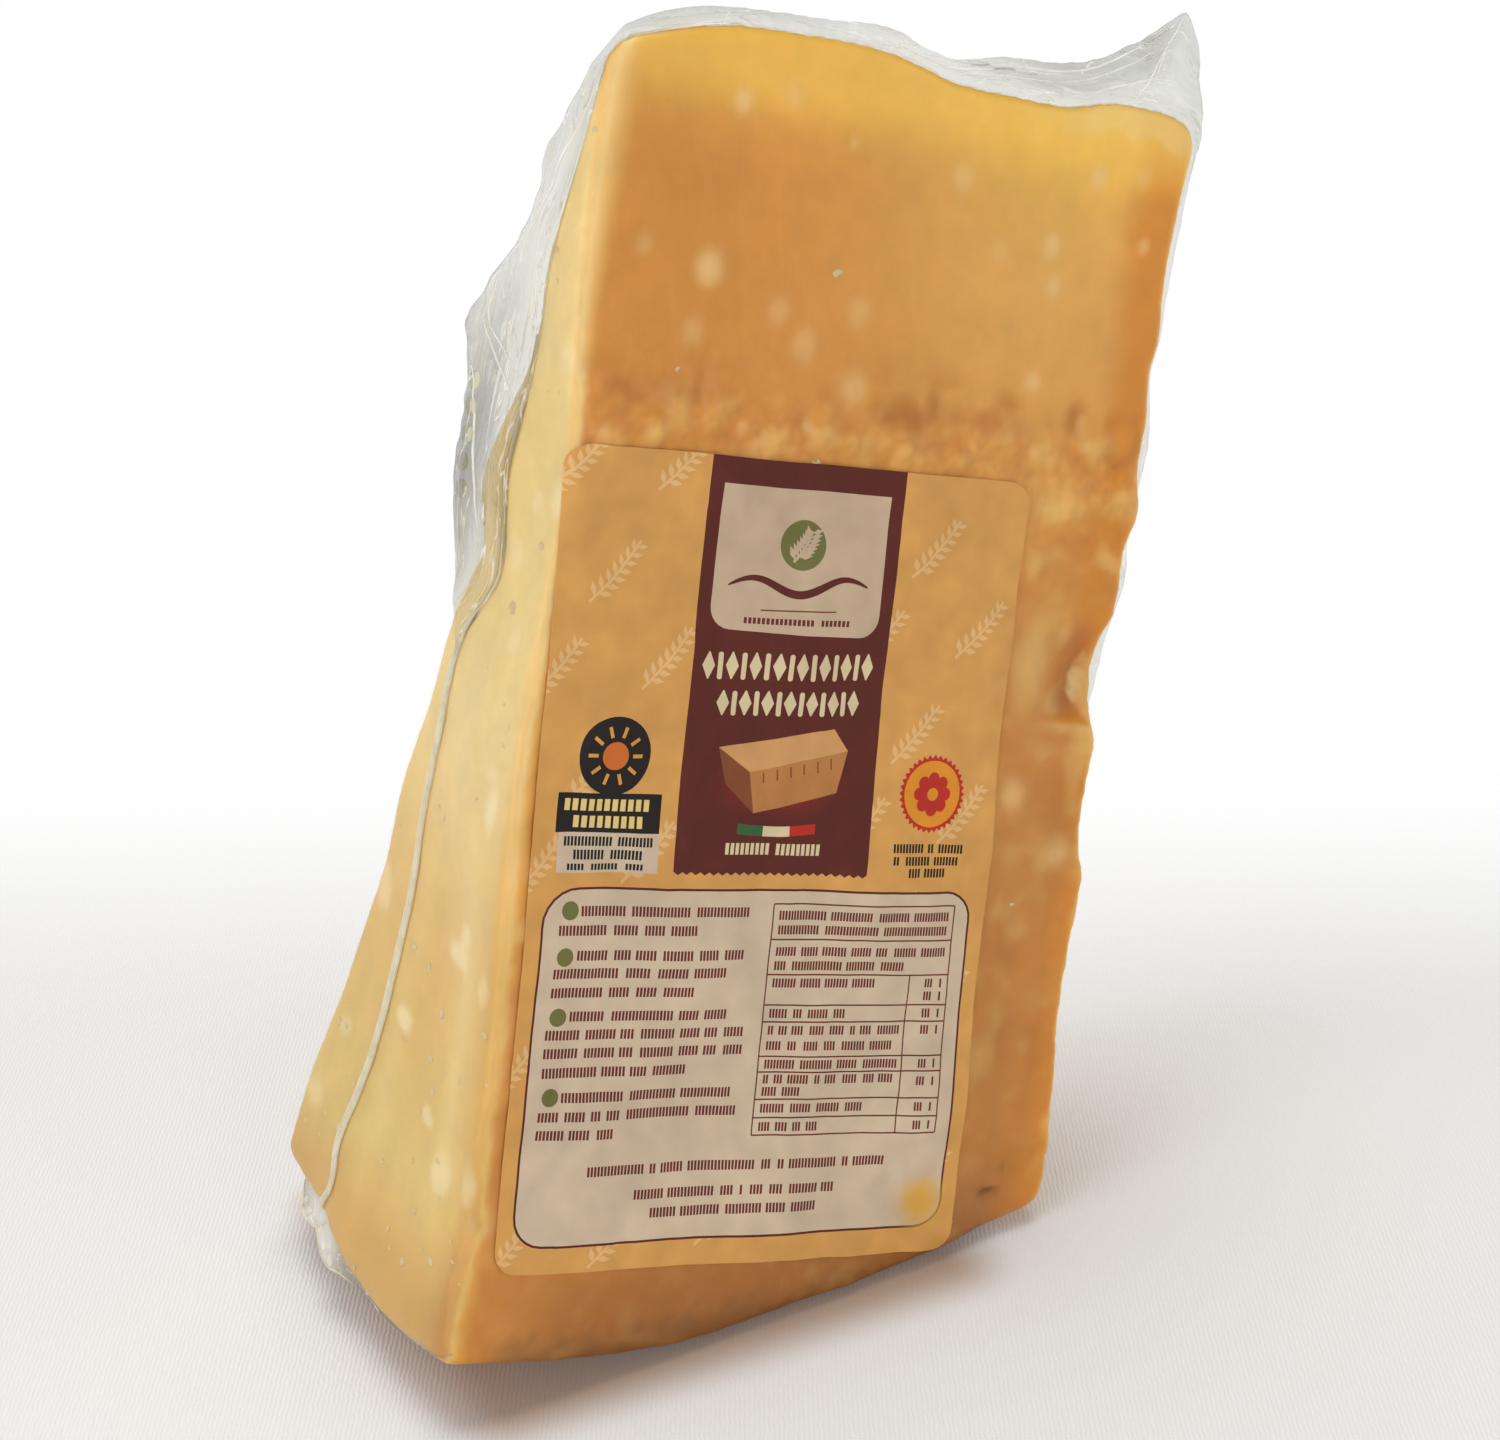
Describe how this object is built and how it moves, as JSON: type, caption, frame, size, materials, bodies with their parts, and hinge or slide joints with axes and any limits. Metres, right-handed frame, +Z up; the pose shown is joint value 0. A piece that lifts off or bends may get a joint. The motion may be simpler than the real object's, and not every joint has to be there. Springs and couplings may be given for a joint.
{
  "type": "vacuum-packed parmesan cheese wedge",
  "caption": "Wedge of aged hard cheese sealed in clear film with a paper label, standing on its rind and leaning to one side.",
  "frame": {"origin": "on the ground under the middle of the whole pack's box", "axes": "+Z up, +X to the right along the label's width, the labelled front face looks towards -Y"},
  "size_m": [0.1772, 0.0762, 0.2109],
  "materials": {
    "cheese": "satin",
    "film": "gloss",
    "label": "satin"
  },
  "bodies": {
    "root": {"cheese_wedge": "cheese", "film_bag": "film", "label": "label"}
  },
  "joints": []
}
